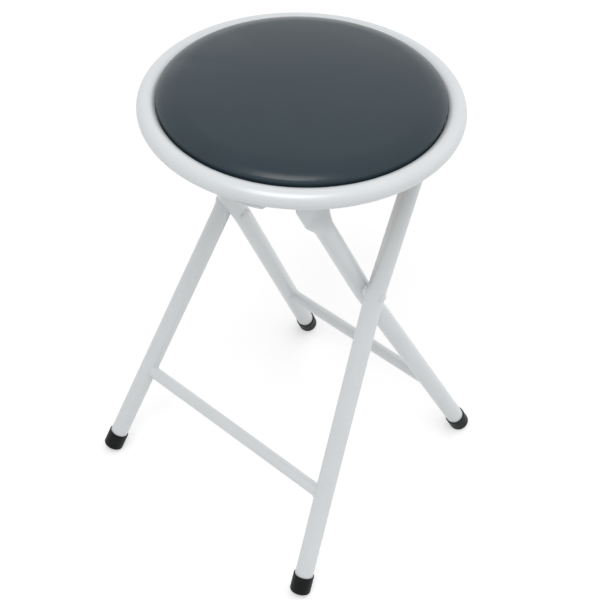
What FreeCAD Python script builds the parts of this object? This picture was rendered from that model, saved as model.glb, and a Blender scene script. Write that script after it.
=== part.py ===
import FreeCAD, Part
import math
import os

os.makedirs("parts", exist_ok=True)
V = FreeCAD.Vector

# Folding stool with a round padded seat, standing open on the floor.
# Millimetres. +Z is up and z = 0 is the floor. +X points to the feet of the
# outer frame, and the origin lies midway between the two frames' foot lines.
# +Y is the left side. Both frames are mirrored about the plane y = 0.

# Stance
outer_foot_reach = 152.2        # foot line of the outer frame, from the middle
inner_foot_reach = 152.8
seat_offset = 7.5               # seat centre and pivots, ahead of the middle
pivot_height = 296.0
splay_drop = 11.0               # the legs bend outward this far below the pivot

# Leg tubes, the same stock for both frames
leg_diameter = 19.0
leg_wall = 1.2
splay_bend_radius = 120.0
outer_foot_half_width = 144.6
outer_splay_half_width = 102.3
outer_top_half_width = 91.6
inner_foot_half_width = 119.6
top_corner_radius = 38.0        # bend of the outer tube under the seat

# Flattened upper ends of the inner legs
pinch_start = 46.0              # above this much below the hinge it narrows
pinch_length = 28.0
pinch_lap = 0.4                 # the flat plate starts this far inside the taper
pinch_slit = 0.3                # left open between the walls where they meet

# Crossbars
crossbar_diameter = 13.0
crossbar_wall = 1.0
outer_crossbar_height = 102.0
inner_crossbar_height = 98.6

# Foot caps
cap_wall = 1.3
cap_length = 20.0
cap_floor = 4.0                 # rubber under the end of the tube
cap_edge_radius = 3.0
cap_flat_depth = 0.6            # how much of the edge the floor flattens

# Pivot rivets and their spacers
pivot_rivet_diameter = 6.2
pivot_inner_head_diameter = 13.0
pivot_inner_head_height = 1.8
pivot_outer_head_diameter = 9.0
pivot_outer_head_height = 1.1
pivot_head_lift = 0.3           # skirt of the head over the crest of the tube
pivot_spacer_diameter = 14.0
pivot_gap = 1.7                 # between the two tubes at the pivot

# Hinge between the inner frame and the seat
hinge_drop = 16.2               # hinge line below the underside of the ring
hinge_rivet_diameter = 6.0
hinge_head_diameter = 11.0
hinge_head_height = 2.2
hinge_tail_diameter = 10.0
hinge_tail_height = 1.5
hinge_washer_diameter = 14.0
hinge_washer_thickness = 0.8

# Seat ring
ring_diameter = 300.0
ring_tube_diameter = 18.5
ring_tube_wall = 1.2
ring_height = 466.7             # centre of the ring's tube

# Straps that cross the ring and carry the board
strap_width = 22.0
strap_thickness = 3.0
strap_spacing = 120.0           # between the two centre lines
strap_end_inset = 6.0           # from the ring's outline

# Hinge brackets under the straps
bracket_thickness = 2.0
bracket_length = 28.0
bracket_eye_radius = 11.0
bracket_foot_width = 26.0

# Moulded saddles that rest on the outer frame's top bar
saddle_web = 2.0
saddle_length = 26.0
saddle_width = 18.0
saddle_depth = 6.0
saddle_peg_diameter = 6.0

# Board, foam and cover
board_ring_gap = 5.5            # between the board's edge and the ring's inside
board_thickness = 9.0
cover_thickness = 1.0
pad_overhang = 6.8              # widest line of the pad beyond the board's edge
pad_side_rise = 8.3             # widest line of the pad over the ring's centre
pad_shoulder_radius = 11.0
pad_crown = 17.0                # top of the crown over the widest line
hem_width = 21.0

# Screws and staples
screw_saddle_gap = 9.3          # from the head of a rear screw to the saddle
screw_bracket_gap = 15.3        # from the head of a front screw to the bracket
screw_diameter = 4.0
screw_grip = 7.0
screw_head_diameter = 8.0
screw_head_height = 2.4
front_staple_count = 2          # in each arc between the two straps
side_staple_count = 4           # in each arc outside a strap
staple_inset = 10.0             # from the board's edge
staple_length = 10.0
staple_wire = 0.6
staple_width = 1.2

# Clearances
running_clearance = 0.05        # on the radius, around a turning shank
face_clearance = 0.1            # between faces that turn on one another
rest_clearance = 0.3            # between the saddles and the top bar


# Derived positions
leg_radius = leg_diameter / 2
ring_radius = ring_tube_diameter / 2
ring_path_radius = ring_diameter / 2 - ring_radius
ring_bottom = ring_height - ring_radius
strap_bottom = ring_bottom - strap_thickness
hinge_height = ring_bottom - hinge_drop
bar_height = strap_bottom - saddle_web - rest_clearance - leg_radius
board_radius = ring_diameter / 2 - ring_tube_diameter - board_ring_gap
pad_radius = board_radius + pad_overhang
splay_height = pivot_height - splay_drop
pivot = V(seat_offset, 0, pivot_height)


def frame_direction(foot_x):
    """Unit vector up the slope of a frame, seen from the side."""
    run = V(seat_offset - foot_x, 0, pivot_height)
    return run.normalize()


outer_up = frame_direction(outer_foot_reach)
inner_up = frame_direction(-inner_foot_reach)


def outer_point(height, half_width, side):
    s = (height - pivot_height) / outer_up.z
    p = pivot + outer_up * s
    return V(p.x, side * half_width, p.z)


def inner_point(height, half_width, side):
    s = (height - pivot_height) / inner_up.z
    p = pivot + inner_up * s
    return V(p.x, side * half_width, p.z)


def between(height, low, high, low_value, high_value):
    part = (height - low) / (high - low)
    return low_value + part * (high_value - low_value)


outer_pivot_half_width = between(pivot_height, splay_height, bar_height,
                                 outer_splay_half_width, outer_top_half_width)
inner_half_width = outer_pivot_half_width - leg_diameter - pivot_gap
hinge_x = inner_point(hinge_height, 0, 1).x


def bent_wire(points, radii):
    """Straight runs through the points, with an arc at each inner one."""
    edges = []
    last = points[0]
    for i in range(1, len(points) - 1):
        p = points[i]
        a = (points[i - 1] - p).normalize()
        b = (points[i + 1] - p).normalize()
        turn = math.pi - a.getAngle(b)
        reach = radii[i - 1] * math.tan(turn / 2)
        start = p + a * reach
        end = p + b * reach
        to_centre = (a + b).normalize()
        centre = p + to_centre * (radii[i - 1] / math.cos(turn / 2))
        middle = centre - to_centre * radii[i - 1]
        edges.append(Part.LineSegment(last, start).toShape())
        edges.append(Part.Arc(start, middle, end).toShape())
        last = end
    edges.append(Part.LineSegment(last, points[-1]).toShape())
    return Part.Wire(edges)


def swept(wire, radius):
    first = wire.Edges[0]
    start = first.valueAt(first.FirstParameter)
    axis = first.tangentAt(first.FirstParameter)
    ring = Part.Wire(Part.makeCircle(radius, start, axis))
    return wire.makePipeShell([ring], True, False)


def along_y(x, z, radius, y1, y2):
    """Cylinder on a line parallel to Y, between two values of y."""
    return Part.makeCylinder(radius, abs(y2 - y1), V(x, min(y1, y2), z), V(0, 1, 0))


def block(x1, x2, y1, y2, z1, z2):
    lo = V(min(x1, x2), min(y1, y2), min(z1, z2))
    return Part.makeBox(abs(x2 - x1), abs(y2 - y1), abs(z2 - z1), lo)


def side_name(side):
    return "left" if side > 0 else "right"


def export(shape, name):
    shape.exportStep("parts/" + name + ".step")
    box = shape.BoundBox
    print("%-26s solids %d volume %.0f x %.1f %.1f y %.1f %.1f z %.1f %.1f" % (
        name, len(shape.Solids), shape.Volume, box.XMin, box.XMax,
        box.YMin, box.YMax, box.ZMin, box.ZMax))


# Foot caps: a rounded cup on the end of the tube, flattened by the floor
cap_radius = leg_radius + cap_wall


def cap_start(direction):
    """Distance along the leg from the floor to the end face of the cap."""
    lean = math.acos(direction.z)
    low = (cap_radius - cap_edge_radius) * math.sin(lean)
    return (cap_edge_radius + low - cap_flat_depth) / direction.z - cap_edge_radius


def foot_cap(foot, direction):
    base = foot + direction * cap_start(direction)
    body = Part.makeCylinder(cap_radius, cap_length, base, direction)
    rim = [e for e in body.Edges if e.Length > 1 and
           abs((e.CenterOfMass - base).Length) < 0.01]
    body = body.makeFillet(cap_edge_radius, rim)
    bore = Part.makeCylinder(leg_radius, cap_length, base + direction * cap_floor, direction)
    reach = 2 * cap_length
    below = block(foot.x - reach, foot.x + reach, foot.y - reach, foot.y + reach, -reach, 0)
    return body.cut(bore).cut(below)


def tube_end(foot, direction):
    return foot + direction * (cap_start(direction) + cap_floor)


# Outer frame: one tube bent into an arch, feet at the front
def outer_path():
    right_side = []
    for side in (-1, 1):
        foot = outer_point(0, outer_foot_half_width, side)
        knee = outer_point(splay_height, outer_splay_half_width, side)
        corner = outer_point(bar_height, outer_top_half_width, side)
        direction = (knee - foot).normalize()
        half = [tube_end(foot, direction), knee, corner]
        right_side.append(half)
    points = right_side[0] + right_side[1][::-1]
    radii = [splay_bend_radius, top_corner_radius, top_corner_radius, splay_bend_radius]
    return bent_wire(points, radii)


outer_wire = outer_path()
outer_solid = swept(outer_wire, leg_radius)
outer_tube = outer_solid.cut(swept(outer_wire, leg_radius - leg_wall))
for side in (-1, 1):
    hole = along_y(pivot.x, pivot.z, pivot_rivet_diameter / 2,
                   side * (outer_pivot_half_width - leg_diameter),
                   side * (outer_pivot_half_width + leg_diameter))
    outer_tube = outer_tube.cut(hole)
export(outer_tube, "outer_frame_tube")

# Inner legs: tubes whose upper ends are pressed flat for the hinge
plate_thickness = 2 * leg_wall
plate_half_width = math.pi * leg_diameter / 4
across = V(0, 1, 0).cross(inner_up)


def pinched_section(height_on_leg, y, half_width, half_thickness, square):
    """Four-sided curve across the leg: round at square 0, flat at square 1."""
    centre = pivot + inner_up * height_on_leg + V(0, y, 0)
    diagonal = math.sqrt(0.5)
    u = half_width * diagonal * (1 - square) + (half_width - half_thickness) * square
    w = half_thickness * diagonal * (1 - square) + half_thickness * square

    def at(i, j):
        return centre + across * i + V(0, j, 0)

    if square < 1:
        over = Part.Arc(at(-u, w), at(0, half_thickness), at(u, w)).toShape()
        under = Part.Arc(at(u, -w), at(0, -half_thickness), at(-u, -w)).toShape()
    else:
        over = Part.LineSegment(at(-u, w), at(u, w)).toShape()
        under = Part.LineSegment(at(u, -w), at(-u, -w)).toShape()
    right = Part.Arc(at(u, w), at(half_width, 0), at(u, -w)).toShape()
    left = Part.Arc(at(-u, -w), at(-half_width, 0), at(-u, w)).toShape()
    return Part.Wire([over, right, under, left])


hinge_on_leg = (hinge_height - pivot_height) / inner_up.z
pinch_low = hinge_on_leg - pinch_start
pinch_high = pinch_low + pinch_length


def pinched_loft(y, radius, flat_half):
    """Part of the leg where the round tube runs out into the flat end."""
    flat_width = math.pi * radius / 2
    wires = []
    for part in (0.0, 0.3, 0.65, 1.0):
        ease = part * part * (3 - 2 * part)
        thin = radius + (flat_half - radius) * ease
        wide = radius + (flat_width - radius) * math.sin(ease * math.pi / 2)
        wires.append(pinched_section(pinch_low + pinch_length * part, y, wide, thin, ease))
    return Part.makeLoft(wires, True, False)


def inner_leg_shapes(side):
    y = side * inner_half_width
    foot = inner_point(0, inner_foot_half_width, side)
    knee = inner_point(splay_height, inner_half_width, side)
    direction = (knee - foot).normalize()
    low = pivot + inner_up * pinch_low + V(0, y, 0)
    wire = bent_wire([tube_end(foot, direction), knee, low], [splay_bend_radius])
    outside = swept(wire, leg_radius)
    bore = swept(wire, leg_radius - leg_wall)
    outside = outside.fuse(pinched_loft(y, leg_radius, plate_thickness / 2))
    bore = bore.fuse(pinched_loft(y, leg_radius - leg_wall, pinch_slit / 2))
    start = pivot + inner_up * (pinch_high - pinch_lap)
    run = inner_up * (hinge_on_leg - pinch_high + pinch_lap)
    corner = start - across * plate_half_width
    corners = [corner, corner + run, corner + run + across * 2 * plate_half_width,
               corner + across * 2 * plate_half_width, corner]
    face = Part.Face(Part.makePolygon(corners))
    face.translate(V(0, y - plate_thickness / 2, 0))
    plate = face.extrude(V(0, plate_thickness, 0))
    eye = along_y(hinge_x, hinge_height, plate_half_width,
                  y - plate_thickness / 2, y + plate_thickness / 2)
    solid = outside.fuse(plate).fuse(eye)
    return solid, bore


def inner_leg(side):
    y = side * inner_half_width
    solid, bore = inner_leg_shapes(side)
    leg = solid.cut(bore)
    pin_hole = along_y(hinge_x, hinge_height, hinge_rivet_diameter / 2,
                       y - leg_diameter, y + leg_diameter)
    rivet_hole = along_y(pivot.x, pivot.z, pivot_rivet_diameter / 2 + running_clearance,
                         y - leg_diameter, y + leg_diameter)
    return leg.cut(pin_hole).cut(rivet_hole).removeSplitter()


inner_solids = {}
for side in (-1, 1):
    inner_solids[side] = inner_leg_shapes(side)[0]
    export(inner_leg(side), "inner_leg_" + side_name(side))

# Crossbars: thinner tubes coped against the legs
outer_bar_half = between(outer_crossbar_height, 0, splay_height,
                         outer_foot_half_width, outer_splay_half_width)
inner_bar_half = between(inner_crossbar_height, 0, splay_height,
                         inner_foot_half_width, inner_half_width)


def crossbar(point, half):
    outside = along_y(point.x, point.z, crossbar_diameter / 2, -half, half)
    bore = along_y(point.x, point.z, crossbar_diameter / 2 - crossbar_wall, -half, half)
    return outside.cut(bore)


outer_bar = crossbar(outer_point(outer_crossbar_height, 0, 1), outer_bar_half)
export(outer_bar.cut(outer_solid), "outer_crossbar")
inner_bar = crossbar(inner_point(inner_crossbar_height, 0, 1), inner_bar_half)
inner_bar = inner_bar.cut(inner_solids[1]).cut(inner_solids[-1])
export(inner_bar, "inner_crossbar")

# Foot caps of both frames
for side in (-1, 1):
    foot = outer_point(0, outer_foot_half_width, side)
    knee = outer_point(splay_height, outer_splay_half_width, side)
    export(foot_cap(foot, (knee - foot).normalize()), "outer_foot_cap_" + side_name(side))
    foot = inner_point(0, inner_foot_half_width, side)
    knee = inner_point(splay_height, inner_half_width, side)
    export(foot_cap(foot, (knee - foot).normalize()), "inner_foot_cap_" + side_name(side))


def dome_arc(radius, height):
    """Radius of the ball that a low round head is cut from, and its half angle."""
    ball = (radius * radius + height * height) / (2 * height)
    return ball, math.asin(radius / ball)


def rivet(x, z, side, shank_radius, low, high, low_head, high_head):
    """Turned rivet parallel to Y with a domed head at each end.

    low and high are the planes under the heads, measured outward from y = 0.
    Each head is a pair of radius and height.
    """
    def at(radius, y):
        return V(x + radius, side * y, z)

    low_radius, low_height = low_head
    high_radius, high_height = high_head
    low_ball, low_angle = dome_arc(low_radius, low_height)
    high_ball, high_angle = dome_arc(high_radius, high_height)
    low_middle = at(low_ball * math.sin(low_angle / 2),
                    low - low_height + low_ball * (1 - math.cos(low_angle / 2)))
    high_middle = at(high_ball * math.sin(high_angle / 2),
                     high + high_height - high_ball * (1 - math.cos(high_angle / 2)))
    low_tip = at(0, low - low_height)
    high_tip = at(0, high + high_height)
    edges = [
        Part.Arc(low_tip, low_middle, at(low_radius, low)).toShape(),
        Part.LineSegment(at(low_radius, low), at(shank_radius, low)).toShape(),
        Part.LineSegment(at(shank_radius, low), at(shank_radius, high)).toShape(),
        Part.LineSegment(at(shank_radius, high), at(high_radius, high)).toShape(),
        Part.Arc(at(high_radius, high), high_middle, high_tip).toShape(),
        Part.LineSegment(high_tip, low_tip).toShape(),
    ]
    face = Part.Face(Part.Wire(edges))
    body = face.revolve(V(x, 0, z), V(0, 1, 0), 360)
    if body.Volume < 0:
        body.reverse()
    return body


# Pivot rivets: fixed in the outer tube, turning in the inner legs
inner_crest_in = inner_half_width - leg_radius
inner_crest_out = inner_half_width + leg_radius
outer_crest_out = outer_pivot_half_width + leg_radius
rivets = []
spacers = []
for side in (-1, 1):
    head_plane = inner_crest_in - face_clearance
    pin = rivet(pivot.x, pivot.z, side, pivot_rivet_diameter / 2,
                head_plane, outer_crest_out + pivot_head_lift,
                (pivot_inner_head_diameter / 2, pivot_inner_head_height),
                (pivot_outer_head_diameter / 2, pivot_outer_head_height))
    skirt = along_y(pivot.x, pivot.z, pivot_outer_head_diameter / 2,
                    side * outer_pivot_half_width,
                    side * (outer_crest_out + pivot_head_lift))
    rivets.append(pin.fuse(skirt.cut(outer_solid)))
    spacer = along_y(pivot.x, pivot.z, pivot_spacer_diameter / 2,
                     side * (inner_crest_out + face_clearance),
                     side * outer_pivot_half_width)
    bore = along_y(pivot.x, pivot.z, pivot_rivet_diameter / 2,
                   side * inner_half_width, side * outer_pivot_half_width)
    spacers.append(spacer.cut(outer_solid).cut(bore))
export(Part.makeCompound(rivets), "pivot_rivets")
export(Part.makeCompound(spacers), "pivot_spacers")

# Hinge rivets and washers: fixed in the flat ends of the inner legs
plate_in = inner_half_width - plate_thickness / 2
plate_out = inner_half_width + plate_thickness / 2
washer_in = plate_in - hinge_washer_thickness
lug_out = washer_in - face_clearance
lug_in = lug_out - bracket_thickness
rivets = []
washers = []
for side in (-1, 1):
    tail_plane = lug_in - face_clearance
    rivets.append(rivet(hinge_x, hinge_height, side, hinge_rivet_diameter / 2,
                        tail_plane, plate_out,
                        (hinge_tail_diameter / 2, hinge_tail_height),
                        (hinge_head_diameter / 2, hinge_head_height)))
    washer = along_y(hinge_x, hinge_height, hinge_washer_diameter / 2,
                     side * washer_in, side * plate_in)
    bore = along_y(hinge_x, hinge_height, hinge_rivet_diameter / 2,
                   side * washer_in, side * plate_in)
    washers.append(washer.cut(bore))
export(Part.makeCompound(rivets), "hinge_rivets")
export(Part.makeCompound(washers), "hinge_washers")

# Seat ring
centre = V(seat_offset, 0, ring_height)
ring = Part.makeTorus(ring_path_radius, ring_radius, centre, V(0, 0, 1))
bore = Part.makeTorus(ring_path_radius, ring_radius - ring_tube_wall, centre, V(0, 0, 1))
export(ring.cut(bore), "seat_ring")

# Straps
strap_y = strap_spacing / 2
strap_outline = Part.makeCylinder(ring_diameter / 2 - strap_end_inset, strap_thickness,
                                  V(seat_offset, 0, strap_bottom))
bar_x = outer_point(bar_height, 0, 1).x
screw_x = [bar_x + saddle_length / 2 + screw_saddle_gap + screw_head_diameter / 2,
           hinge_x - bracket_length / 2 - screw_bracket_gap - screw_head_diameter / 2]
for side in (-1, 1):
    y = side * strap_y
    strap = block(seat_offset - ring_diameter, seat_offset + ring_diameter,
                  y - strap_width / 2, y + strap_width / 2, strap_bottom, ring_bottom)
    strap = strap.common(strap_outline)
    for x in screw_x:
        strap = strap.cut(Part.makeCylinder(screw_diameter / 2, strap_thickness,
                                            V(x, y, strap_bottom)))
    strap = strap.cut(Part.makeCylinder(saddle_peg_diameter / 2, strap_thickness,
                                        V(bar_x, y, strap_bottom)))
    export(strap, "seat_strap_" + side_name(side))

# Hinge brackets: angle pieces welded under the straps
bracket_top = strap_bottom
bracket_low = bracket_top - bracket_thickness
for side in (-1, 1):
    foot = block(hinge_x - bracket_length / 2, hinge_x + bracket_length / 2,
                 side * (lug_out - bracket_foot_width), side * lug_out,
                 bracket_low, bracket_top)
    y1 = min(side * lug_in, side * lug_out)
    corners = [V(hinge_x - bracket_length / 2, y1, bracket_low),
               V(hinge_x + bracket_length / 2, y1, bracket_low),
               V(hinge_x + bracket_eye_radius, y1, hinge_height),
               V(hinge_x - bracket_eye_radius, y1, hinge_height)]
    lug = Part.Face(Part.makePolygon(corners + corners[:1])).extrude(V(0, bracket_thickness, 0))
    eye = along_y(hinge_x, hinge_height, bracket_eye_radius, y1, y1 + bracket_thickness)
    hole = along_y(hinge_x, hinge_height, hinge_rivet_diameter / 2 + running_clearance,
                   y1 - bracket_thickness, y1 + 2 * bracket_thickness)
    bracket = foot.fuse([lug, eye]).cut(hole).removeSplitter()
    export(bracket, "hinge_bracket_" + side_name(side))

# Saddles: open below, so that the top bar leaves them as the seat lifts
for side in (-1, 1):
    y = side * strap_y
    body = block(bar_x - saddle_length / 2, bar_x + saddle_length / 2,
                 y - saddle_width / 2, y + saddle_width / 2,
                 strap_bottom - saddle_web - saddle_depth, strap_bottom)
    groove = along_y(bar_x, bar_height, leg_radius + rest_clearance,
                     y - saddle_width, y + saddle_width)
    peg = Part.makeCylinder(saddle_peg_diameter / 2, strap_thickness,
                            V(bar_x, y, strap_bottom))
    export(body.cut(groove).fuse(peg).removeSplitter(), "rest_saddle_" + side_name(side))

# Seat board
board_bottom = ring_bottom + cover_thickness
board_top = board_bottom + board_thickness
board = Part.makeCylinder(board_radius, board_thickness, V(seat_offset, 0, board_bottom))
for side in (-1, 1):
    for x in screw_x:
        board = board.cut(Part.makeCylinder(screw_diameter / 2, screw_grip,
                                            V(x, side * strap_y, board_bottom)))
export(board, "seat_board")

# Padding: the crown arc runs into the shoulder arc, the side draws in below
pad_side_height = ring_height + pad_side_rise


def pad_solid(inset):
    """Body of revolution of the pad, smaller by inset all round."""
    shoulder = pad_shoulder_radius - inset
    mid = pad_radius - pad_shoulder_radius
    crown = pad_crown
    full = (mid * mid + crown * crown - pad_shoulder_radius ** 2)
    crown_radius = full / (2 * (crown - pad_shoulder_radius)) - inset
    crown_centre = pad_side_height + crown - inset - crown_radius
    lean = math.asin(mid / (crown_radius - shoulder))
    low = -math.radians(45)

    def crown_at(a):
        return V(crown_radius * math.sin(a), 0, crown_centre + crown_radius * math.cos(a))

    def side_at(a):
        return V(mid + shoulder * math.cos(a), 0, pad_side_height + shoulder * math.sin(a))

    neck = board_radius + cover_thickness - inset
    drawn = side_at(low)
    bottom = ring_bottom + inset
    neck_top = drawn.z - (drawn.x - neck)
    top = V(0, 0, pad_side_height + crown - inset)
    join = crown_at(lean)
    edges = [
        Part.Arc(top, crown_at(lean / 2), join).toShape(),
        Part.Arc(join, side_at((math.pi / 2 - lean + low) / 2), drawn).toShape(),
        Part.LineSegment(drawn, V(neck, 0, neck_top)).toShape(),
        Part.LineSegment(V(neck, 0, neck_top), V(neck, 0, bottom)).toShape(),
        Part.LineSegment(V(neck, 0, bottom), V(0, 0, bottom)).toShape(),
        Part.LineSegment(V(0, 0, bottom), top).toShape(),
    ]
    face = Part.Face(Part.Wire(edges))
    solid = face.revolve(V(0, 0, 0), V(0, 0, 1), 360)
    solid.translate(V(seat_offset, 0, 0))
    return solid


inside = pad_solid(cover_thickness)
full_board = Part.makeCylinder(board_radius, board_thickness,
                               V(seat_offset, 0, board_bottom))
export(inside.cut(full_board), "seat_foam")
opening = Part.makeCylinder(board_radius - hem_width, 3 * cover_thickness,
                            V(seat_offset, 0, ring_bottom - cover_thickness))
export(pad_solid(0).cut(inside).cut(opening), "seat_cover")

# Screws up through the straps into the board
screws = []
for side in (-1, 1):
    for x in screw_x:
        y = side * strap_y
        shank = Part.makeCylinder(screw_diameter / 2,
                                  strap_thickness + cover_thickness + screw_grip,
                                  V(x, y, strap_bottom))
        head = Part.makeCylinder(screw_head_diameter / 2, screw_head_height,
                                 V(x, y, strap_bottom - screw_head_height))
        rim = [e for e in head.Edges if e.Length > 1 and
               abs(e.CenterOfMass.z - (strap_bottom - screw_head_height)) < 0.01]
        head = head.makeFillet(screw_head_height / 2, rim)
        screws.append(shank.fuse(head))
export(Part.makeCompound(screws), "board_screws")

# Staples that hold the hem of the cover under the board, clear of the straps
staple_radius = board_radius - staple_inset
before_strap = math.degrees(math.asin((strap_y - strap_width / 2) / staple_radius))
past_strap = math.degrees(math.asin((strap_y + strap_width / 2) / staple_radius))
arcs = [(-before_strap, 2 * before_strap, front_staple_count),
        (past_strap, 180 - 2 * past_strap, side_staple_count)]
staples = []
for start, sweep, count in arcs:
    for i in range(count):
        for half_turn in (0, 180):
            angle = half_turn + start + sweep * (i + 0.5) / count
            staple = block(staple_radius - staple_width / 2, staple_radius + staple_width / 2,
                           -staple_length / 2, staple_length / 2,
                           ring_bottom - staple_wire, ring_bottom)
            staple.rotate(V(0, 0, 0), V(0, 0, 1), angle)
            staple.translate(V(seat_offset, 0, 0))
            staples.append(staple)
export(Part.makeCompound(staples), "cover_staples")

print("pivot", pivot, "inner half width", inner_half_width)
print("hinge", hinge_x, hinge_height, "bar", bar_x, bar_height)
print("frame slopes", math.degrees(math.atan2(outer_up.x, outer_up.z)),
      math.degrees(math.atan2(inner_up.x, inner_up.z)))
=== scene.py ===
"""Folding stool with a round padded seat: seat cover, welds, finishes and studio."""

import math

import bmesh
import bpy
from bpy.props import FloatProperty, FloatVectorProperty, IntProperty, PointerProperty
from mathutils import Matrix, Vector


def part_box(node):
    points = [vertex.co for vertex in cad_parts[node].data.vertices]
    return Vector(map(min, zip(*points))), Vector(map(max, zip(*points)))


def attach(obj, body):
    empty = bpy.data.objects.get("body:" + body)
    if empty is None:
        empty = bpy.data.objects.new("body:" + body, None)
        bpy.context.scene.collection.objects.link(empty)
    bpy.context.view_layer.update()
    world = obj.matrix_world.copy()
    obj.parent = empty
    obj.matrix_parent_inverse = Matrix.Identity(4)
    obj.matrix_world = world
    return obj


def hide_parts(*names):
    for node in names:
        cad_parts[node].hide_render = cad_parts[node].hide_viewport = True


bl_info = {
    "name": "Folding stool",
    "version": (1, 0, 0),
    "blender": (4, 5, 0),
    "location": "View3D > Sidebar > Stool",
    "description": "Dresses the folding stool: padded seat, welds, finishes and studio",
    "category": "Object",
}

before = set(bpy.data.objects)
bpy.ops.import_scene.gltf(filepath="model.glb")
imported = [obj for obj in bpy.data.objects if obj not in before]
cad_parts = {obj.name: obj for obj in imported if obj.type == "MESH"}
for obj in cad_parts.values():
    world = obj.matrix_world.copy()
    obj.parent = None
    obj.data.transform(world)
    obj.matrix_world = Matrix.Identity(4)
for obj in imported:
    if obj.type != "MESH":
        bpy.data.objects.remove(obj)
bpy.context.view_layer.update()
cover_low, cover_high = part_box("seat_cover")
board_low, board_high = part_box("seat_board")
ring_low, ring_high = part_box("seat_ring")
pivot_low, pivot_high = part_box("pivot_rivets")

# The seat, from the frame, in metres
SEAT_X = (ring_low.x + ring_high.x) / 2
RING_MIDDLE = (ring_low.z + ring_high.z) / 2
RING_INSIDE = (ring_high.x - ring_low.x) / 2 - (ring_high.z - ring_low.z)
PAD_RADIUS = (cover_high.x - cover_low.x) / 2
PAD_BOTTOM = cover_low.z
PAD_TOP = cover_high.z
BOARD_RADIUS = (board_high.x - board_low.x) / 2
BOARD_BOTTOM = board_low.z
BOARD_TOP = board_high.z
VINYL_THICK = 0.001
FILM = 0.0001                 # smallest room left between two surfaces

# The pad's outline: widest line, tight rim, wider shoulder, then the crown
SIDE_HEIGHT = PAD_TOP - 0.0172
EDGE_ROOM = 0.0005            # the rim stays this far inside the solid cover
RIM = 0.005
RIM_START = math.radians(-20)
RIM_TURN = math.radians(50)
SHOULDER = 0.034
RING_CONTACT = (0.0020, -0.0010)   # the side is on the ring between these, from its middle
SIDE_FOOT = PAD_BOTTOM + 0.0065    # where the side ends and the hem begins

# The foam's unevenness: depth of the waves, then for each wave how many go round
# the seat, its share and its start, and the places, width and depth of the slack folds
WAVE_DEPTH = 0.00015
WAVES = ((2, 1.0, 0.6), (3, 0.7, 2.4), (5, 0.5, 4.0))
FOLDS = (-1.15, -1.75)
FOLD_WIDTH = 0.10
FOLD_DEPTH = 0.0007

# The cover's hem down the side and round the board's edge: distance out from the
# neck, height above the pad's bottom, and depth of the gathers
HEM_TURN = ((0.0032, 0.0048, 0.0), (0.0014, 0.0032, 0.0002), (0.0, 0.0019, 0.0003),
            (-0.0006, 0.0008, 0.0005), (-0.0018, 0.0001, 0.0006))
HEM_STEPS = 7
GATHER_DEPTH = 0.0010

# The frames, in metres: the tubes, the heights of the pivot and of the bend in the
# legs below it, and for each frame how far its feet stand from the seat's middle
# along X and half the width between its legs at the floor and at the bend
LEG_RADIUS = 0.0095
BAR_RADIUS = 0.0065
PIVOT_HEIGHT = (pivot_low.z + pivot_high.z) / 2
BEND_HEIGHT = PIVOT_HEIGHT - 0.011
STANCES = {"outer": (0.1522, 0.1446, 0.1023), "inner": (-0.1528, 0.1196, 0.080859)}

# The camera, fitted to the stool's edges, and the studio's lights
CAMERA_PLACE = (0.7725, 0.681, 1.161)
CAMERA_HEADING, CAMERA_DIP, CAMERA_ROLL = 3.865, 0.741, 0.032
KEY_PLACE = (0.80, 0.46, 1.79)
KEY_AIM = (0, 0, 0.42)
KEY_WIDTH = 0.9
BACKDROP_WAY = (-0.86, -0.44, 0.25)
FLAG_WAY = (-0.062, -0.704, 0.707)
FLOOR_GREY = 0.8
FLOOR_GLOW = 0.42             # lifts the floor to white where it is seen


def linear(hex_color):
    """Linear RGBA of an sRGB hex colour."""
    parts = [int(hex_color[i:i + 2], 16) / 255 for i in (1, 3, 5)]
    return tuple(c / 12.92 if c <= 0.04045 else ((c + 0.055) / 1.055) ** 2.4
                 for c in parts) + (1.0,)


def add_node(tree, kind, settings=None, inputs=None):
    """Add a node, set it up, and fill its sockets with values or links."""
    made = tree.nodes.new("ShaderNode" + kind)
    for name, value in (settings or {}).items():
        setattr(made, name, value)
    for name, value in (inputs or {}).items():
        if isinstance(value, bpy.types.NodeSocket):
            tree.links.new(value, made.inputs[name])
        else:
            made.inputs[name].default_value = value
    return made


# Settings that a user would change

class StoolColors(bpy.types.PropertyGroup):
    paint: FloatVectorProperty(
        name="Paint", description="Powder coat on the frames and the ring",
        subtype="COLOR", size=4, min=0, max=1, default=linear("#E0E4E6"))
    vinyl: FloatVectorProperty(
        name="Vinyl", description="Seat cover",
        subtype="COLOR", size=4, min=0, max=1, default=linear("#1D3039"))
    cap: FloatVectorProperty(
        name="Foot caps", description="Rubber on the feet",
        subtype="COLOR", size=4, min=0, max=1, default=linear("#101314"))
    nylon: FloatVectorProperty(
        name="Saddles", description="Moulded saddles under the seat",
        subtype="COLOR", size=4, min=0, max=1, default=linear("#1B1B1D"))
    veneer: FloatVectorProperty(
        name="Seat board", description="Light wood of the board's face veneer",
        subtype="COLOR", size=4, min=0, max=1, default=linear("#CDB18A"))


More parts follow.
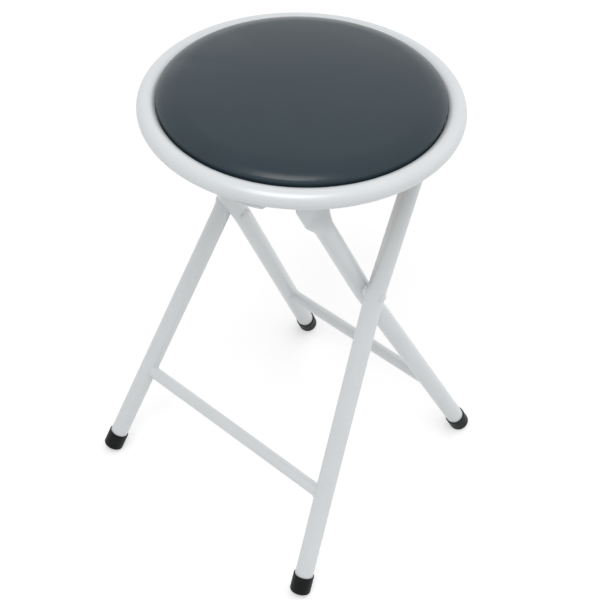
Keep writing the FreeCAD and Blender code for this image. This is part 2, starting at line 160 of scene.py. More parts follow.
class StoolPadding(bpy.types.PropertyGroup):
    mesh_step: FloatProperty(
        name="Mesh step", description="Spacing of the cover's mesh while it is blown up",
        subtype="DISTANCE", unit="LENGTH", min=0.003, max=0.01, default=0.005)
    start_inset: FloatProperty(
        name="Slack", description="How much smaller the cover starts",
        subtype="DISTANCE", unit="LENGTH", min=0, max=0.01, default=0.0015)
    pressure: FloatProperty(
        name="Pressure", description="Push of the foam against the cover",
        min=0, max=20, default=4)
    swell_limit: FloatProperty(
        name="Swell limit", description="Furthest that a point of the cover moves",
        subtype="DISTANCE", unit="LENGTH", min=0, max=0.02, default=0.0018)
    hem_width: FloatProperty(
        name="Hem width", description="Cover turned in under the board",
        subtype="DISTANCE", unit="LENGTH", min=0.005, max=0.05, default=0.021)
    pleats: IntProperty(
        name="Pleats", description="Gathers round the hem", min=0, max=120, default=46)


class StoolWelds(bpy.types.PropertyGroup):
    bead: FloatProperty(
        name="Weld bead", description="Radius of the weld beads",
        subtype="DISTANCE", unit="LENGTH", min=0.0003, max=0.004, default=0.0011)


class StoolStage(bpy.types.PropertyGroup):
    lens: FloatProperty(
        name="Lens", description="Focal length of the camera, in millimetres",
        subtype="DISTANCE_CAMERA", min=20, max=200, default=80.82)
    floor_size: FloatProperty(
        name="Floor", description="Width of the studio floor",
        subtype="DISTANCE", unit="LENGTH", min=1, max=20, default=3)
    surround: FloatProperty(
        name="Surround light", description="Strength of the white backdrop's light",
        min=0, max=2, default=0.92)
    photographer_side: FloatProperty(
        name="Near side light",
        description="Strength of the light from the camera's side and the left",
        min=0, max=2, default=0.42)
    flag: FloatProperty(
        name="Flag", description="Strength left by the black flag at the upper left",
        min=0, max=1, default=0.2)
    key: FloatProperty(
        name="Key light", description="Power of the softbox above the camera",
        subtype="POWER", unit="POWER", min=0, max=200, default=9)


# Materials

def new_material(name):
    """A fresh material with an empty tree, its output and its shader."""
    material = bpy.data.materials.new(name)
    material.use_nodes = True
    tree = material.node_tree
    tree.nodes.clear()
    shader = add_node(tree, "BsdfPrincipled")
    add_node(tree, "OutputMaterial", inputs={"Surface": shader.outputs[0]})
    return material, tree, shader


def fill(shader, values):
    """Set uniform values or links on the shader's own sockets."""
    tree = shader.id_data
    for name, value in values.items():
        if isinstance(value, bpy.types.NodeSocket):
            tree.links.new(value, shader.inputs[name])
        else:
            shader.inputs[name].default_value = value


def shades(color, amount):
    """A darker and a lighter neighbour of a colour."""
    low = tuple(c * (1 - amount) for c in color[:3]) + (1.0,)
    high = tuple(min(1.0, c * (1 + amount)) for c in color[:3]) + (1.0,)
    return low, high


def powder_coat(colors):
    """Satin silver-grey powder coat on steel: a little metal flake gives it a soft
    sheen, and the orange peel of baked powder breaks its highlights up."""
    material, tree, shader = new_material("satin_powder_coat")
    at = add_node(tree, "TexCoord").outputs["Object"]
    low, high = shades(tuple(colors.paint), 0.03)
    # film thickness drifts over about 40 mm
    drift = add_node(tree, "TexNoise", inputs={"Vector": at, "Scale": 25.0, "Detail": 3.0})
    tone = add_node(tree, "Mix", {"data_type": "RGBA"},
                    {0: drift.outputs["Fac"], 6: low, 7: high})
    # orange peel: waves of 1.6 mm
    peel = add_node(tree, "TexNoise", inputs={"Vector": at, "Scale": 620.0, "Detail": 2.0})
    relief = add_node(tree, "Bump", inputs={
        "Strength": 0.5, "Distance": 0.00003, "Height": peel.outputs["Fac"]})
    gloss = add_node(tree, "MapRange", inputs={
        "Value": drift.outputs["Fac"], "To Min": 0.30, "To Max": 0.40})
    fill(shader, {"Base Color": tone.outputs[2], "Roughness": gloss.outputs[0],
                  "Metallic": 0.12, "Normal": relief.outputs[0], "Coat Weight": 0.1,
                  "Coat Roughness": 0.15})
    return material


def zinc_plate():
    """Bright zinc plate on steel fasteners: a cool, slightly cloudy mirror with
    the fine grain of barrel plating."""
    material, tree, shader = new_material("bright_zinc_plate")
    at = add_node(tree, "TexCoord").outputs["Object"]
    # clouds of 5.5 mm, and a grain of 0.4 mm, coarser than the real one so that it shows
    cloud = add_node(tree, "TexNoise", inputs={"Vector": at, "Scale": 180.0, "Detail": 4.0})
    tone = add_node(tree, "Mix", {"data_type": "RGBA"},
                    {0: cloud.outputs["Fac"], 6: linear("#AEB3B6"), 7: linear("#D2D6D6")})
    grain = add_node(tree, "TexNoise", inputs={"Vector": at, "Scale": 2500.0, "Detail": 2.0})
    gloss = add_node(tree, "MapRange", inputs={
        "Value": cloud.outputs["Fac"], "To Min": 0.26, "To Max": 0.42})
    relief = add_node(tree, "Bump", inputs={
        "Strength": 0.4, "Distance": 0.00002, "Height": grain.outputs["Fac"]})
    fill(shader, {"Base Color": tone.outputs[2], "Metallic": 1.0,
                  "Roughness": gloss.outputs[0], "Normal": relief.outputs[0]})
    return material


def cap_rubber(colors):
    """Moulded vinyl rubber: near black, a soft sheen, and scuffs that pale the
    edge that meets the floor."""
    material, tree, shader = new_material("moulded_cap_rubber")
    at = add_node(tree, "TexCoord").outputs["Object"]
    low, high = shades(tuple(colors.cap), 0.25)
    # bloom on the rubber in patches of 3.3 mm
    mottle = add_node(tree, "TexNoise", inputs={"Vector": at, "Scale": 300.0, "Detail": 5.0})
    tone = add_node(tree, "Mix", {"data_type": "RGBA"},
                    {0: mottle.outputs["Fac"], 6: low, 7: high})
    # scuffs fade out 5 mm above the floor
    height = add_node(tree, "SeparateXYZ", inputs={0: at})
    near_floor = add_node(tree, "MapRange", inputs={
        "Value": height.outputs["Z"], "From Min": 0.0, "From Max": 0.005,
        "To Min": 0.2, "To Max": 0.0})
    patch = add_node(tree, "Math", {"operation": "MULTIPLY"},
                     {0: near_floor.outputs[0], 1: mottle.outputs["Fac"]})
    worn = add_node(tree, "Mix", {"data_type": "RGBA"},
                    {0: patch.outputs[0], 6: tone.outputs[2], 7: linear("#5A5C5D")})
    # the mould's grit, 0.7 mm, coarser than the real one so that it shows
    grit = add_node(tree, "TexNoise", inputs={"Vector": at, "Scale": 1400.0, "Detail": 3.0})
    relief = add_node(tree, "Bump", inputs={
        "Strength": 0.4, "Distance": 0.00004, "Height": grit.outputs["Fac"]})
    gloss = add_node(tree, "MapRange", inputs={
        "Value": mottle.outputs["Fac"], "To Min": 0.38, "To Max": 0.55})
    fill(shader, {"Base Color": worn.outputs[2], "Roughness": gloss.outputs[0],
                  "Normal": relief.outputs[0], "Specular IOR Level": 0.15})
    return material


def nylon(colors):
    """Injection moulded nylon: black with the fine spark texture of its mould."""
    material, tree, shader = new_material("moulded_black_nylon")
    at = add_node(tree, "TexCoord").outputs["Object"]
    low, high = shades(tuple(colors.nylon), 0.15)
    # pits of 0.55 mm, coarser than the real ones so that they show
    spark = add_node(tree, "TexNoise", inputs={"Vector": at, "Scale": 1800.0, "Detail": 2.0})
    tone = add_node(tree, "Mix", {"data_type": "RGBA"},
                    {0: spark.outputs["Fac"], 6: low, 7: high})
    relief = add_node(tree, "Bump", inputs={
        "Strength": 0.5, "Distance": 0.00003, "Height": spark.outputs["Fac"]})
    gloss = add_node(tree, "MapRange", inputs={
        "Value": spark.outputs["Fac"], "To Min": 0.42, "To Max": 0.56})
    fill(shader, {"Base Color": tone.outputs[2], "Roughness": gloss.outputs[0],
                  "Normal": relief.outputs[0]})
    return material


def birch_plywood(colors):
    """Raw rotary-cut birch veneer: pale, with wandering long grain and pores."""
    material, tree, shader = new_material("raw_birch_plywood")
    at = add_node(tree, "TexCoord").outputs["Object"]
    low, high = shades(tuple(colors.veneer), 0.16)
    # grain runs along X: lines of about 3 mm, 60 mm long
    along = add_node(tree, "Mapping", inputs={"Vector": at, "Scale": (16.0, 330.0, 330.0)})
    grain = add_node(tree, "TexNoise", inputs={
        "Vector": along.outputs[0], "Scale": 1.0, "Detail": 6.0, "Distortion": 0.6})
    tone = add_node(tree, "Mix", {"data_type": "RGBA"},
                    {0: grain.outputs["Fac"], 6: low, 7: high})
    # pores 0.6 mm wide and 5.5 mm long
    fleck = add_node(tree, "Mapping", inputs={"Vector": at, "Scale": (180.0, 1600.0, 1600.0)})
    pore = add_node(tree, "TexNoise", inputs={"Vector": fleck.outputs[0], "Scale": 1.0})
    dark = add_node(tree, "MapRange", inputs={
        "Value": pore.outputs["Fac"], "From Min": 0.62, "From Max": 0.72,
        "To Min": 0.0, "To Max": 0.35})
    face = add_node(tree, "Mix", {"data_type": "RGBA"},
                    {0: dark.outputs[0], 6: tone.outputs[2], 7: linear("#8A6A45")})
    relief = add_node(tree, "Bump", inputs={
        "Strength": 0.5, "Distance": 0.00008, "Height": grain.outputs["Fac"]})
    fill(shader, {"Base Color": face.outputs[2], "Roughness": 0.68,
                  "Normal": relief.outputs[0]})
    return material


def seat_vinyl(colors):
    """Calendered PVC on knit backing: dark slate, a satin top coat, and a shallow
    embossed grain that scatters the highlight round the edge of the seat."""
    material, tree, shader = new_material("embossed_pvc_vinyl")
    at = add_node(tree, "TexCoord").outputs["Object"]
    low, high = shades(tuple(colors.vinyl), 0.12)
    # print tone drifts over about 60 mm
    drift = add_node(tree, "TexNoise", inputs={"Vector": at, "Scale": 16.0, "Detail": 2.0})
    tone = add_node(tree, "Mix", {"data_type": "RGBA"},
                    {0: drift.outputs["Fac"], 6: low, 7: high})
    # embossed cells about 1.1 mm wide
    wander = add_node(tree, "TexNoise", inputs={"Vector": at, "Scale": 400.0, "Detail": 1.0})
    bent = add_node(tree, "VectorMath", {"operation": "MULTIPLY_ADD"},
                    {0: wander.outputs["Color"], 1: (0.0006, 0.0006, 0.0006), 2: at})
    cells = add_node(tree, "TexVoronoi", {"feature": "DISTANCE_TO_EDGE"},
                     {"Vector": bent.outputs[0], "Scale": 900.0})
    crease = add_node(tree, "MapRange", inputs={
        "Value": cells.outputs["Distance"], "From Min": 0.0, "From Max": 0.22})
    relief = add_node(tree, "Bump", inputs={
        "Strength": 0.4, "Distance": 0.00002, "Height": crease.outputs[0]})
    gloss = add_node(tree, "MapRange", inputs={
        "Value": drift.outputs["Fac"], "To Min": 0.23, "To Max": 0.29})
    fill(shader, {"Base Color": tone.outputs[2], "Roughness": gloss.outputs[0],
                  "Normal": relief.outputs[0], "Specular IOR Level": 0.42})
    return material


def seen_as_white(tree):
    """1 for the rays that show the studio: to the camera, in gloss and through glass."""
    path = add_node(tree, "LightPath")
    gloss = add_node(tree, "Math", {"operation": "MAXIMUM"}, {
        0: path.outputs["Is Glossy Ray"], 1: path.outputs["Is Transmission Ray"]})
    return add_node(tree, "Math", {"operation": "MAXIMUM"}, {
        0: path.outputs["Is Camera Ray"], 1: gloss.outputs[0]}).outputs[0]


def coat(name, material):
    """Give a CAD node its finish."""
    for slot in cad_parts[name].material_slots:
        slot.material = material


def once(name, maker, *args):
    """The material of that name, made the first time it is asked for."""
    return bpy.data.materials.get(name) or maker(*args)


def paint():
    return once("satin_powder_coat", powder_coat, bpy.context.scene.stool_colors)


# Meshes

def new_piece(name, mesh, material, smooth=True):
    """Link a mesh as an object at the origin."""
    if smooth:
        for face in mesh.polygons:
            face.use_smooth = True
    mesh.materials.clear()
    mesh.materials.append(material)
    piece = bpy.data.objects.new(name, mesh)
    bpy.context.scene.collection.objects.link(piece)
    return piece


def applied(piece, name):
    """The piece's mesh with its modifiers in it."""
    graph = bpy.context.evaluated_depsgraph_get()
    mesh = bpy.data.meshes.new_from_object(piece.evaluated_get(graph), depsgraph=graph)
    mesh.name = name
    return mesh


def pad_arcs(inset):
    """The pad's outline from the side to the crown: for each arc its centre's
    radius and height, its own radius, and the slopes that it starts and ends at."""
    rim_centre = (PAD_RADIUS - EDGE_ROOM - RIM, SIDE_HEIGHT)
    middle = rim_centre[0] + (RIM - SHOULDER) * math.cos(RIM_TURN)
    height = rim_centre[1] + (RIM - SHOULDER) * math.sin(RIM_TURN)
    crown = PAD_TOP - height
    ball = (middle ** 2 + crown ** 2 - SHOULDER ** 2) / (2 * (crown - SHOULDER))
    top = math.pi / 2 - math.asin(middle / (ball - SHOULDER))
    return ((rim_centre[0], rim_centre[1], RIM - inset, RIM_START, RIM_TURN),
            (middle, height, SHOULDER - inset, RIM_TURN, top),
            (0.0, PAD_TOP - ball, ball - inset, top, math.pi / 2))


def side_radius(z, inset):
    """Radius of the cover's side below the rim, close inside the ring."""
    rim_r, rim_z, radius, start, _ = pad_arcs(0.0)[0]
    high, low = RING_CONTACT
    points = [(rim_r + radius * math.cos(start), rim_z + radius * math.sin(start)),
              (RING_INSIDE - FILM, RING_MIDDLE + high),
              (RING_INSIDE - 2 * FILM, RING_MIDDLE + low),
              (RING_INSIDE - 2 * FILM, SIDE_FOOT),
              (BOARD_RADIUS + VINYL_THICK, PAD_BOTTOM)]
    for (r0, z0), (r1, z1) in zip(points, points[1:]):
        if z >= z1:
            return r1 + (r0 - r1) * min(1.0, (z - z1) / (z0 - z1)) - inset
    return points[-1][0] - inset


def pad_profile(inset):
    """Half outline of the padding, from the bottom centre up to the crown."""
    arcs = pad_arcs(inset)
    rim_foot = arcs[0][1] + arcs[0][2] * math.sin(arcs[0][3])
    points = [(0.0, PAD_BOTTOM)]
    for i in range(8):
        z = PAD_BOTTOM + (rim_foot - PAD_BOTTOM) * i / 8
        points.append((side_radius(z, inset), z))
    for (r, z, radius, low, high), steps in zip(arcs, (8, 8, 20)):
        for i in range(steps):
            turn = low + (high - low) * i / steps
            points.append((max(0.0, r + radius * math.cos(turn)),
                           z + radius * math.sin(turn)))
    return points + [(0.0, PAD_TOP - inset)]


def drawn_tight(co, arcs, inset):
    """The point's place on the padding's true outline, and the way out there."""
    flat = Vector((co.x - SEAT_X, co.y, 0))
    reach = flat.length
    flat = flat / reach if reach > 1e-6 else Vector((1, 0, 0))
    for r, z, radius, low, high in reversed(arcs):
        turn = math.atan2(co.z - z, reach - r)
        # a hundredth of a radian over, so that no point falls between two arcs
        if low <= turn <= high + 0.01:
            out = flat * math.cos(turn) + Vector((0, 0, math.sin(turn)))
            return Vector((SEAT_X, 0, z)) + flat * r + out * radius, out
    if reach > BOARD_RADIUS * 0.95 and co.z > PAD_BOTTOM + 0.002:
        return Vector((SEAT_X, 0, co.z)) + flat * side_radius(co.z, inset), flat
    return co.copy(), None


def unevenness(co):
    """How far the foam under the cover lies below its crown, in metres."""
    angle, reach = around(co), math.hypot(co.x - SEAT_X, co.y) / PAD_RADIUS
    waves = sum(share * math.sin(count * angle + start) for count, share, start in WAVES)
    folds = sum(math.exp(-((angle - at) / FOLD_WIDTH) ** 2) for at in FOLDS)
    return WAVE_DEPTH * reach ** 2 * (waves + 1.2) + FOLD_DEPTH * folds * reach ** 4


def turned(points, steps):
    """Spin a half outline about the seat's axis into a closed mesh."""
    shape = bmesh.new()
    verts = [shape.verts.new((SEAT_X + r, 0, z)) for r, z in points]
    edges = [shape.edges.new(pair) for pair in zip(verts, verts[1:])]
    bmesh.ops.spin(shape, geom=verts + edges, cent=(SEAT_X, 0, 0), axis=(0, 0, 1),
                   dvec=(0, 0, 0), angle=2 * math.pi, steps=steps, use_merge=True)
    bmesh.ops.remove_doubles(shape, verts=shape.verts, dist=0.00002)
    bmesh.ops.recalc_face_normals(shape, faces=shape.faces)
    return shape


def pad_blank(inset, step):
    """The outline spun round and remeshed into even faces, ready for the cloth."""
    shape = turned(pad_profile(inset), 128)
    mesh = bpy.data.meshes.new("pad_blank")
    shape.to_mesh(mesh)
    shape.free()
    blank = bpy.data.objects.new("pad_blank", mesh)
    bpy.context.scene.collection.objects.link(blank)
    remesh = blank.modifiers.new("even_mesh", "REMESH")
    remesh.mode = "VOXEL"
    remesh.voxel_size = step
    even = applied(blank, "pad_even")
    bpy.data.objects.remove(blank)
    body = bpy.data.objects.new("pad_body", even)
    bpy.context.scene.collection.objects.link(body)
    return body


def add_cloth(body, pressure, frames):
    """Make the cover cloth that is held where its hem is stapled to the board."""
    held = body.vertex_groups.new(name="stapled")
    for v in body.data.vertices:
        weight = min(1.0, max(0.0, (BOARD_TOP + 0.002 - v.co.z) / 0.006))
        if weight > 0:
            held.add([v.index], weight, "REPLACE")
    cloth = body.modifiers.new("vinyl", "CLOTH")
    feel = cloth.settings
    feel.quality = 6
    feel.mass = 0.3
    feel.tension_stiffness = 25
    feel.compression_stiffness = 25
    feel.shear_stiffness = 10
    feel.bending_stiffness = 1.5
    feel.vertex_group_mass = "stapled"
    feel.use_pressure = True
    feel.uniform_pressure_force = pressure
    feel.effector_weights.gravity = 0
    cloth.point_cache.frame_start = 1
    cloth.point_cache.frame_end = frames
    return cloth


def evened(push, edges, rounds):
    """Each point's push, averaged with its neighbours' a number of times."""
    for _ in range(rounds):
        total, count = push[:], [1] * len(push)
        for a, b in edges:
            total[a] += push[b]
            total[b] += push[a]
            count[a] += 1
            count[b] += 1
        push = [t / c for t, c in zip(total, count)]
    return push


def crown_share(out):
    """1 on the crown, where the cover may move, and 0 on its rim and side."""
    return min(1.0, max(0.0, (out.z - 0.75) / 0.2))


def swell(body, normals, padding):
    """Blow the cover up with cloth pressure. The foam behind it lets it move outward
    only and evenly, and it sinks a little where the foam lies low."""
    inset = padding.start_inset
    rest = [v.co.copy() for v in body.data.vertices]
    frames = 20
    cloth = add_cloth(body, padding.pressure, frames)
    for number in range(1, frames + 1):
        bpy.context.scene.frame_set(number)
    swollen = applied(body, "pad_swollen")
    push = [min(padding.swell_limit, max(0.7 * inset, (v.co - start).dot(out)))
            for v, start, out in zip(swollen.vertices, rest, normals)]
    push = evened(push, [tuple(edge.vertices) for edge in swollen.edges], 12)
    for v, start, out, move in zip(swollen.vertices, rest, normals, push):
        lift = (move - inset - unevenness(start)) * crown_share(out)
        v.co = start + out * (inset + lift)
    body.modifiers.remove(cloth)
    body.data = swollen
    bpy.context.scene.frame_set(1)


def blown_up(padding):
    """The cover's mesh from its blank, blown up."""
    inset = padding.start_inset
    body = pad_blank(inset, padding.mesh_step)
    normals, arcs = [], pad_arcs(inset)
    for v in body.data.vertices:
        v.co, out = drawn_tight(v.co, arcs, inset)
        normals.append(out or v.normal.copy())
    swell(body, normals, padding)
    finer = body.modifiers.new("finer", "SUBSURF")
    finer.levels = finer.render_levels = 2
    result = applied(body, "pad_fine")
    bpy.data.objects.remove(body)
    # subdividing rounds the tight rim off, so it is drawn back onto its outline
    arcs = pad_arcs(0.0)
    for v in result.vertices:
        tight, out = drawn_tight(v.co, arcs, 0.0)
        if out:
            v.co = tight + out * (v.co - tight).dot(out) * crown_share(out)
    return result


def next_loop(shape, edges, place):
    """Extrude open edges and put each new vertex where place says."""
    made = bmesh.ops.extrude_edge_only(shape, edges=edges)["geom"]
    verts = {v for v in made if isinstance(v, bmesh.types.BMVert)}
    for v in verts:
        v.co = place(v.co)
    return [e for e in made if isinstance(e, bmesh.types.BMEdge)
            and e.verts[0] in verts and e.verts[1] in verts]


def around(co):
    """Angle of a point round the seat's axis."""
    return math.atan2(co.y, co.x - SEAT_X)


def on_circle(angle, radius, z):
    return Vector((SEAT_X + radius * math.cos(angle), radius * math.sin(angle), z))


def gather(angle, count):
    """Depth of the hem's gathers at an angle, 0 in a fold and 1 on a crest."""
    wander = 0.9 * math.sin(3 * angle + 0.7) + 0.6 * math.sin(7 * angle + 2.1)
    wave = 0.5 + 0.5 * math.cos(count * angle + wander)
    return wave ** 1.6 * (0.65 + 0.35 * math.sin(5 * angle + 1.3))


def raw_edge(angle):
    """How far the hand-cut edge of the hem wanders in and out."""
    return 0.0006 * math.sin(19 * angle) + 0.0004 * math.sin(43 * angle)


def hemmed(mesh, padding):
    """Cut the blown-up cover above its hem, turn the hem in under the board, and lead
    the mesh back round the board's edge and over its top. After the full simulation the
    cut's edge is uneven, and the hem then has gaps and its last loop stays open."""
    shape = bmesh.new()
    shape.from_mesh(mesh)
    bmesh.ops.recalc_face_normals(shape, faces=shape.faces)
    everything = shape.verts[:] + shape.edges[:] + shape.faces[:]
    bmesh.ops.bisect_plane(shape, geom=everything, plane_co=(0, 0, SIDE_FOOT),
                           plane_no=(0, 0, 1), clear_inner=True)
    rim = [v for v in shape.verts if abs(v.co.z - SIDE_FOOT) < 2 * FILM]
    bmesh.ops.remove_doubles(shape, verts=rim, dist=0.0007)
    edges = [e for e in shape.edges if e.is_boundary]
    for v in {v for e in edges for v in e.verts}:
        v.co = on_circle(around(v.co), side_radius(SIDE_FOOT, 0.0), SIDE_FOOT)
    neck = BOARD_RADIUS + VINYL_THICK
    count = padding.pleats

    def side_place(co, radius, rise, deep):
        angle = around(co)
        return on_circle(angle, radius - deep * (1 - gather(angle, count)),
                         PAD_BOTTOM + rise)

    def under_place(co, radius, deep):
        angle = around(co)
        return on_circle(angle, radius, PAD_BOTTOM - deep * gather(angle, count))

    for out, rise, deep in HEM_TURN:
        edges = next_loop(shape, edges, lambda co: side_place(co, neck + out, rise, deep))
    turn, inner = neck + HEM_TURN[-1][0], BOARD_RADIUS - padding.hem_width
    for i in range(1, HEM_STEPS + 1):
        radius = turn + (inner - turn) * i / HEM_STEPS
        deep = GATHER_DEPTH * math.sin(math.pi * 0.8 * i / HEM_STEPS)
        edges = next_loop(shape, edges, lambda co: under_place(co, radius, deep))
    # the raw edge of the hem, then back out against the board and over its top
    below, above = BOARD_BOTTOM - FILM, BOARD_TOP + FILM
    edges = next_loop(shape, edges, lambda co: on_circle(
        around(co), inner + raw_edge(around(co)), below))
    for radius, z in ((BOARD_RADIUS - 0.006, below), (BOARD_RADIUS + FILM, below),
                      (BOARD_RADIUS + FILM, above), (BOARD_RADIUS * 0.6, above),
                      (BOARD_RADIUS * 0.2, above)):
        edges = next_loop(shape, edges, lambda co: on_circle(around(co), radius, z))
    bmesh.ops.edgeloop_fill(shape, edges=edges)
    bmesh.ops.recalc_face_normals(shape, faces=shape.faces)
    made = bpy.data.meshes.new("seat_padded_cover")
    shape.to_mesh(made)
    shape.free()
    return made


def bead_along(name, runs, radius, material, body):
    """Weld beads along runs of points: a rippled round of laid metal."""
    curve = bpy.data.curves.new(name, "CURVE")
    curve.dimensions = "3D"
    curve.bevel_depth = radius
    curve.bevel_resolution = 3
    curve.use_fill_caps = True
    for points, closed in runs:
        spline = curve.splines.new("POLY")
        spline.points.add(len(points) - 1)
        for i, (slot, p) in enumerate(zip(spline.points, points)):
            slot.co = (*p, 1)
            # the ripple of laid metal
            slot.radius = 1 + 0.10 * math.sin(i * 2.1) + 0.06 * math.sin(i * 0.7)
        spline.use_cyclic_u = closed
    rough = bpy.data.objects.new(name + "_path", curve)
    bpy.context.scene.collection.objects.link(rough)
    mesh = applied(rough, name)
    bpy.data.objects.remove(rough)
    piece = new_piece(name, mesh, material)
    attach(piece, body)
    return piece


def coped_joint(bar_x, bar_z, foot, bend):
    """Points round the end of a crossbar where its surface meets a leg's."""
    direction = (bend - foot).normalized()
    points = []
    for i in range(48):
        angle = 2 * math.pi * i / 48
        start = Vector((bar_x + BAR_RADIUS * math.cos(angle), 0,
                        bar_z + BAR_RADIUS * math.sin(angle))) - foot
        step = Vector((0, 1, 0))
        start_off = start - direction * start.dot(direction)
        step_off = step - direction * step.dot(direction)
        a = step_off.length_squared
        b = start_off.dot(step_off)
        c = start_off.length_squared - LEG_RADIUS ** 2
        root = math.sqrt(max(0.0, b * b - a * c))
        y = min((-b - root) / a, (-b + root) / a, key=abs)
        points.append(Vector((0, y, 0)) + start + foot)
    return points


def crossbar_runs(frame_name):
    """The weld round both ends of a frame's crossbar."""
    reach, foot_half, bend_half = STANCES[frame_name]
    low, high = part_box(frame_name + "_crossbar")
    pivot = Vector((SEAT_X, 0, PIVOT_HEIGHT))
    up = (pivot - Vector((reach, 0, 0))).normalized()
    bend = pivot + up * ((BEND_HEIGHT - PIVOT_HEIGHT) / up.z)
    return [(coped_joint((low.x + high.x) / 2, (low.z + high.z) / 2,
                         Vector((reach, side * foot_half, 0)),
                         Vector((bend.x, side * bend_half, bend.z))), True)
            for side in (-1, 1)]


def strap_runs(side):
    """The welds at both ends of a strap and along both ends of its hinge bracket."""
    low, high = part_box("seat_strap_" + side)
    reach = (high.x - low.x) / 2
    outline = math.hypot(reach, min(abs(low.y), abs(high.y)))
    runs = []
    for end in (-1, 1):
        points = []
        for i in range(15):
            y = low.y + 0.001 + (high.y - low.y - 0.002) * i / 14
            x = SEAT_X + end * math.sqrt(outline ** 2 - y * y)
            points.append(Vector((x, y, high.z - 0.0006)))
        runs.append((points, False))
    foot_low, foot_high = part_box("hinge_bracket_" + side)
    start = max(foot_low.y, low.y) + 0.0015
    stop = min(foot_high.y, high.y) - 0.0015
    for x in (foot_low.x, foot_high.x):
        runs.append(([Vector((x, start + (stop - start) * i / 11, low.z - 0.0002))
                      for i in range(12)], False))
    return runs


# Operators

class STOOL_OT_seat_cover(bpy.types.Operator):
    """Blow up the vinyl cover over the foam and staple its hem under the board"""
    bl_idname = "stool.seat_cover"
    bl_label = "Seat cover"

    def execute(self, context):
        padding = context.scene.stool_padding
        mesh = hemmed(blown_up(padding), padding)
        vinyl = once("embossed_pvc_vinyl", seat_vinyl, context.scene.stool_colors)
        cover = new_piece("seat_padded_cover", mesh, vinyl)
        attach(cover, "seat")
        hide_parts("seat_cover", "seat_foam")
        return {"FINISHED"}


class STOOL_OT_painted_parts(bpy.types.Operator):
    """Powder coat the ring, straps, brackets, legs, crossbars and pivots"""
    bl_idname = "stool.painted_parts"
    bl_label = "Painted parts"

    def execute(self, context):
        for name in ("seat_ring", "seat_strap_left", "seat_strap_right",
                     "hinge_bracket_left", "hinge_bracket_right",
                     "inner_leg_left", "inner_leg_right", "inner_crossbar",
                     "outer_frame_tube", "outer_crossbar",
                     "pivot_rivets", "pivot_spacers"):
            coat(name, paint())
        return {"FINISHED"}


class STOOL_OT_fasteners(bpy.types.Operator):
    """Zinc plate the hinge rivets, washers, screws and staples"""
    bl_idname = "stool.fasteners"
    bl_label = "Fasteners"

    def execute(self, context):
        zinc = once("bright_zinc_plate", zinc_plate)
        for name in ("hinge_rivets", "hinge_washers", "board_screws", "cover_staples"):
            coat(name, zinc)
        return {"FINISHED"}


class STOOL_OT_foot_caps(bpy.types.Operator):
    """Finish the four foot caps in moulded rubber"""
    bl_idname = "stool.foot_caps"
    bl_label = "Foot caps"

    def execute(self, context):
        rubber = once("moulded_cap_rubber", cap_rubber, context.scene.stool_colors)
        for name in ("inner_foot_cap_left", "inner_foot_cap_right",
                     "outer_foot_cap_left", "outer_foot_cap_right"):
            coat(name, rubber)
        return {"FINISHED"}


class STOOL_OT_saddles(bpy.types.Operator):
    """Finish the saddles under the seat in black nylon"""
    bl_idname = "stool.saddles"
    bl_label = "Saddles"

    def execute(self, context):
        black = once("moulded_black_nylon", nylon, context.scene.stool_colors)
        for name in ("rest_saddle_left", "rest_saddle_right"):
            coat(name, black)
        return {"FINISHED"}


class STOOL_OT_seat_board(bpy.types.Operator):
    """Finish the seat board in raw birch plywood"""
    bl_idname = "stool.seat_board"
    bl_label = "Seat board"

    def execute(self, context):
        coat("seat_board", once("raw_birch_plywood", birch_plywood,
                                context.scene.stool_colors))
        return {"FINISHED"}


class STOOL_OT_welds(bpy.types.Operator):
    """Lay the weld beads at the crossbars, straps and brackets"""
    bl_idname = "stool.welds"
    bl_label = "Welds"

    def execute(self, context):
        radius = context.scene.stool_welds.bead
        for name in STANCES:
            bead_along(name + "_crossbar_welds", crossbar_runs(name), radius,
                       paint(), name + "_frame")
        bead_along("seat_welds", strap_runs("left") + strap_runs("right"),
                   radius * 1.15, paint(), "seat")
        return {"FINISHED"}


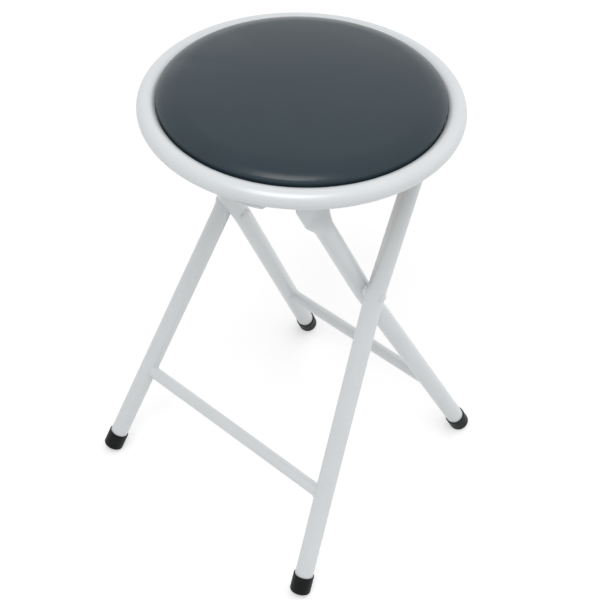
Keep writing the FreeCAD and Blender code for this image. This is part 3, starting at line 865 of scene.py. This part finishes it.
class STOOL_OT_stage(bpy.types.Operator):
    """Set up the floor, the light and the camera"""
    bl_idname = "stool.stage"
    bl_label = "Studio"

    def execute(self, context):
        scene = context.scene
        stage = scene.stool_stage
        scene.view_settings.view_transform = "Standard"
        self.camera(scene, stage)
        self.surround(scene, stage)
        self.lamps(scene, stage)
        self.floor(scene, stage)
        return {"FINISHED"}

    def camera(self, scene, stage):
        """Place and turn the camera by its heading, dip and roll, in radians."""
        level = math.cos(CAMERA_DIP)
        ahead = Vector((level * math.cos(CAMERA_HEADING), level * math.sin(CAMERA_HEADING),
                        -math.sin(CAMERA_DIP)))
        right = ahead.cross(Vector((0, 0, 1))).normalized()
        up = right.cross(ahead)
        across = right * math.cos(CAMERA_ROLL) + up * math.sin(CAMERA_ROLL)
        upright = up * math.cos(CAMERA_ROLL) - right * math.sin(CAMERA_ROLL)
        data = bpy.data.cameras.new("studio_camera")
        data.sensor_width = 36
        data.lens = stage.lens
        data.clip_start, data.clip_end = 0.05, 50
        camera = bpy.data.objects.new("studio_camera", data)
        scene.collection.objects.link(camera)
        turn = Matrix((across, upright, -ahead)).transposed()
        camera.matrix_world = Matrix.Translation(CAMERA_PLACE) @ turn.to_4x4()
        scene.camera = camera

    def surround(self, scene, stage):
        """White studio tent, full white to the camera, in gloss and through glass. Its
        light on matt surfaces is brightest from the backdrop and the right, softer from
        the camera's side and the left, and flagged at the upper left of the backdrop."""
        world = bpy.data.worlds.new("white_studio")
        world.use_nodes = True
        tree = world.node_tree
        tree.nodes.clear()
        way = add_node(tree, "TexCoord").outputs["Generated"]
        back = add_node(tree, "VectorMath", {"operation": "DOT_PRODUCT"},
                        {0: way, 1: BACKDROP_WAY})
        tent = add_node(tree, "MapRange", {"interpolation_type": "SMOOTHSTEP"}, {
            "Value": back.outputs["Value"], "From Min": -0.65, "From Max": 0.15,
            "To Min": stage.photographer_side, "To Max": stage.surround})
        corner = add_node(tree, "VectorMath", {"operation": "DOT_PRODUCT"},
                          {0: way, 1: FLAG_WAY})
        flag = add_node(tree, "MapRange", {"interpolation_type": "SMOOTHSTEP"}, {
            "Value": corner.outputs["Value"], "From Min": 0.82, "From Max": 0.95,
            "To Min": 1.0, "To Max": stage.flag})
        lit = add_node(tree, "Math", {"operation": "MULTIPLY"},
                       {0: tent.outputs[0], 1: flag.outputs[0]})
        strength = add_node(tree, "Math", {"operation": "MAXIMUM"},
                            {0: seen_as_white(tree), 1: lit.outputs[0]})
        light = add_node(tree, "Background", inputs={
            "Color": (1, 1, 1, 1), "Strength": strength.outputs[0]})
        add_node(tree, "OutputWorld", inputs={"Surface": light.outputs[0]})
        scene.world = world

    def lamps(self, scene, stage):
        """Softbox above the camera, a little to its left."""
        data = bpy.data.lights.new("key_softbox", "AREA")
        data.energy = stage.key
        data.size = KEY_WIDTH
        lamp = bpy.data.objects.new("key_softbox", data)
        lamp.location = KEY_PLACE
        lamp.rotation_mode = "QUATERNION"
        aim = Vector(KEY_AIM) - lamp.location
        lamp.rotation_quaternion = aim.to_track_quat("-Z", "Y")
        scene.collection.objects.link(lamp)

    def floor(self, scene, stage):
        """Pale seamless floor that reads as white and keeps the stool's shadow."""
        shape = bmesh.new()
        bmesh.ops.create_circle(shape, cap_ends=True, segments=96,
                                radius=stage.floor_size / 2)
        mesh = bpy.data.meshes.new("studio_floor")
        shape.to_mesh(mesh)
        shape.free()
        material = bpy.data.materials.new("white_vinyl_floor")
        material.use_nodes = True
        tree = material.node_tree
        tree.nodes.clear()
        matt = add_node(tree, "BsdfDiffuse", inputs={
            "Color": (FLOOR_GREY, FLOOR_GREY, FLOOR_GREY, 1)})
        glow = add_node(tree, "Emission", inputs={
            "Color": (1, 1, 1, 1), "Strength": FLOOR_GLOW})
        both = add_node(tree, "AddShader", inputs={0: matt.outputs[0], 1: glow.outputs[0]})
        mix = add_node(tree, "MixShader", inputs={
            0: seen_as_white(tree), 1: matt.outputs[0], 2: both.outputs[0]})
        add_node(tree, "OutputMaterial", inputs={"Surface": mix.outputs[0]})
        floor = new_piece("studio_floor", mesh, material, smooth=False)


SETTINGS = (("stool_colors", StoolColors), ("stool_padding", StoolPadding),
            ("stool_welds", StoolWelds), ("stool_stage", StoolStage))
OPERATORS = (STOOL_OT_seat_cover, STOOL_OT_painted_parts, STOOL_OT_fasteners,
             STOOL_OT_foot_caps, STOOL_OT_saddles, STOOL_OT_seat_board,
             STOOL_OT_welds, STOOL_OT_stage)


class STOOL_PT_panel(bpy.types.Panel):
    """Lists the stool's pieces and their settings"""
    bl_label = "Folding stool"
    bl_idname = "STOOL_PT_panel"
    bl_space_type = "VIEW_3D"
    bl_region_type = "UI"
    bl_category = "Stool"

    def draw(self, context):
        for operator in OPERATORS:
            self.layout.operator(operator.bl_idname)
        for name, group in SETTINGS:
            box = self.layout.box()
            for key in group.__annotations__:
                box.prop(getattr(context.scene, name), key)


def register():
    for name, group in SETTINGS:
        bpy.utils.register_class(group)
        setattr(bpy.types.Scene, name, PointerProperty(type=group))
    for operator in OPERATORS:
        bpy.utils.register_class(operator)
    bpy.utils.register_class(STOOL_PT_panel)


def unregister():
    bpy.utils.unregister_class(STOOL_PT_panel)
    for operator in reversed(OPERATORS):
        bpy.utils.unregister_class(operator)
    for name, group in reversed(SETTINGS):
        delattr(bpy.types.Scene, name)
        bpy.utils.unregister_class(group)


def main():
    register()
    bpy.ops.stool.seat_cover()
    bpy.ops.stool.painted_parts()
    bpy.ops.stool.fasteners()
    bpy.ops.stool.foot_caps()
    bpy.ops.stool.saddles()
    bpy.ops.stool.seat_board()
    bpy.ops.stool.welds()
    bpy.ops.stool.stage()


if __name__ == "__main__":
    main()
